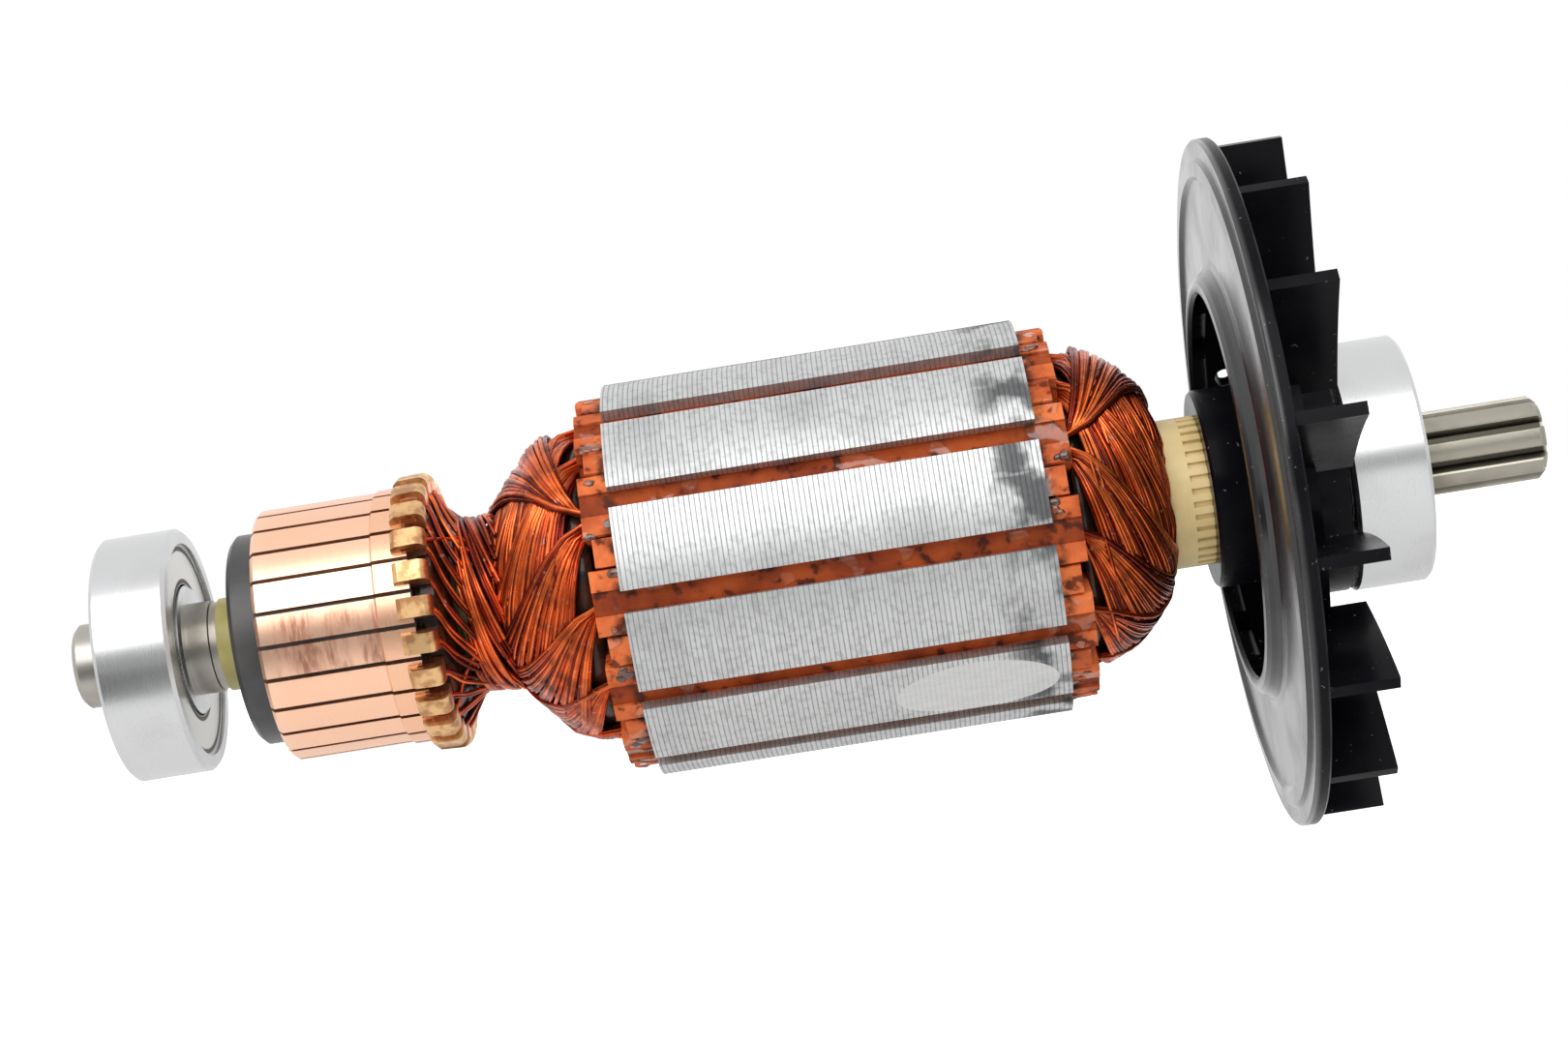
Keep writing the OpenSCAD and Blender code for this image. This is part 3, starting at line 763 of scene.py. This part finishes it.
def varnish_lumps():
    rng = random.Random(19)
    bm = bmesh.new()
    for end, way in ((core_start, -1), (core_end, 1)):
        for k in range(SLOTS * LUMPS_A_SLOT):
            slot_angle = FIRST_SLOT_ANGLE + SLOT_PITCH * (k // LUMPS_A_SLOT)
            angle = slot_angle + rng.choice((-8, -7, 7, 8)) + rng.uniform(-2, 2)
            radius = core_radius - rng.uniform(1.1, 2.0) * MM
            place = at(end + way * rng.uniform(0.2, 2.4) * MM, radius, angle)
            lump(bm, rng, place, at(0, 1, angle), rng.uniform(0.3, 0.75) * MM)
    for face in bm.faces:
        face.smooth = True
    piece = solid("varnish_lumps", bm, varnish_drop())
    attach(piece, "rotor")
    return piece


drops = varnish_lumps()
print(drops.name, len(drops.data.polygons))

# %% [markdown]
# ## Floor, light and camera
# The floor and the surroundings are white to the camera and in reflections, as in a light tent, while the
# lamp lights the part at a plain level. Polished metal needs something dark to reflect: a dark card lies
# on the floor in front of the bearing, another in front of the core, and a grey one stands behind the
# camera. None of them is seen directly, and the two on the floor leave it plain and evenly lit from every
# side.

# %% Floor and cards
def sheet(name, size, place, tilt, grey, glow=0.0):
    """A flat staged sheet. glow is what it gives off to the camera, and a little of it to reflections."""
    bm = bmesh.new()
    bmesh.ops.create_grid(bm, x_segments=1, y_segments=1, size=0.5)
    bmesh.ops.scale(bm, verts=bm.verts, vec=(size[0], size[1], 1))
    bmesh.ops.rotate(bm, verts=bm.verts, matrix=Matrix.Rotation(math.radians(tilt), 3, "X"))
    bmesh.ops.translate(bm, verts=bm.verts, vec=place)
    finish = Finish(name, (grey, grey, grey), 0.8)
    finish.set("Specular IOR Level", 0.1)
    if glow:
        seen = finish.add("ShaderNodeLightPath", output=0) + 0.15 * finish.add("ShaderNodeLightPath", output=3)
        finish.set("Emission Strength", 1.0)
        finish.set("Emission Color", finish.mix(seen, (0.0, 0.0, 0.0), (glow, glow, glow)))
    piece = solid(name, bm, finish)
    return piece


sheet("floor", (8, 8), (0.07, 0, -0.078), 0, 0.85, glow=0.75)
dark_card = sheet("dark_card", (0.43, 0.5), (-0.24, -0.36, -0.077), 0, 0.07)
core_card = sheet("core_card", (0.13, 0.4), (0.07, -0.36, -0.077), 0, 0.1)
grey_card = sheet("grey_card", (2.4, 1.2), (0.07, -0.95, 0.5), 90, 0.5)
for card in (dark_card, core_card, grey_card):
    card.visible_camera = False
for card in (dark_card, core_card):
    card.visible_shadow = False
    card.visible_diffuse = False
print("floor and cards ready")

# %% [markdown]
# The world is pure white to the camera and in reflections, and dimmer as a light, so that pale metal keeps
# its shade. One soft lamp from above the camera models the round forms.

# %% Surroundings and lamp
WORLD_LIGHT = 0.74
PART_MIDDLE = (0.07, 0, 0)


def surroundings():
    world = bpy.data.worlds.new("light_tent")
    bpy.context.scene.world = world
    world.use_nodes = True
    tree = world.node_tree
    seen = tree.nodes.new("ShaderNodeLightPath")
    total = seen.outputs["Is Camera Ray"]
    for other in ("Is Glossy Ray", "Is Transmission Ray"):
        either = tree.nodes.new("ShaderNodeMath")
        either.operation = "MAXIMUM"
        tree.links.new(total, either.inputs[0])
        tree.links.new(seen.outputs[other], either.inputs[1])
        total = either.outputs[0]
    strength = tree.nodes.new("ShaderNodeMapRange")
    strength.inputs["To Min"].default_value = WORLD_LIGHT
    strength.inputs["To Max"].default_value = 1.0
    tree.links.new(total, strength.inputs["Value"])
    tree.links.new(strength.outputs[0], tree.nodes["Background"].inputs["Strength"])
    tree.nodes["Background"].inputs["Color"].default_value = (1, 1, 1, 1)


def lamp(name, place, aim, size, power):
    light = bpy.data.lights.new(name, "AREA")
    light.shape = "RECTANGLE"
    light.size, light.size_y = size
    light.energy = power
    rig = link(name, light)
    rig.location = place
    rig.rotation_euler = (Vector(aim) - Vector(place)).to_track_quat("-Z", "Y").to_euler()


surroundings()
lamp("key", (0.0, -0.5, 0.36), PART_MIDDLE, size=(0.8, 0.5), power=3.5)
print("surroundings and lamp ready")

# %% [markdown]
# The camera is level and turned a little about its own line of sight, so that the shaft climbs towards the
# pinion. Its lens is a little longer than a normal one, which keeps the near and far ends of the shaft
# alike in size.

# %% Camera
CAMERA_PLACE = Vector((76.5, -322.0, 3.5)) * MM
CAMERA_YAW = 1.56
CAMERA_ROLL = 9.04
LENS = 69.93


def set_camera():
    data = bpy.data.cameras.new("camera")
    data.sensor_width = 36.0
    data.lens = LENS
    data.clip_start = 0.01
    camera = link("camera", data)
    turn = Matrix.Rotation(math.radians(CAMERA_YAW), 4, "Z") @ Matrix.Rotation(math.radians(90), 4, "X")
    turn = turn @ Matrix.Rotation(math.radians(-CAMERA_ROLL), 4, "Z")
    camera.matrix_world = Matrix.Translation(CAMERA_PLACE) @ turn
    bpy.context.scene.camera = camera


set_camera()
bpy.context.scene.view_settings.view_transform = "Standard"
print("camera set")
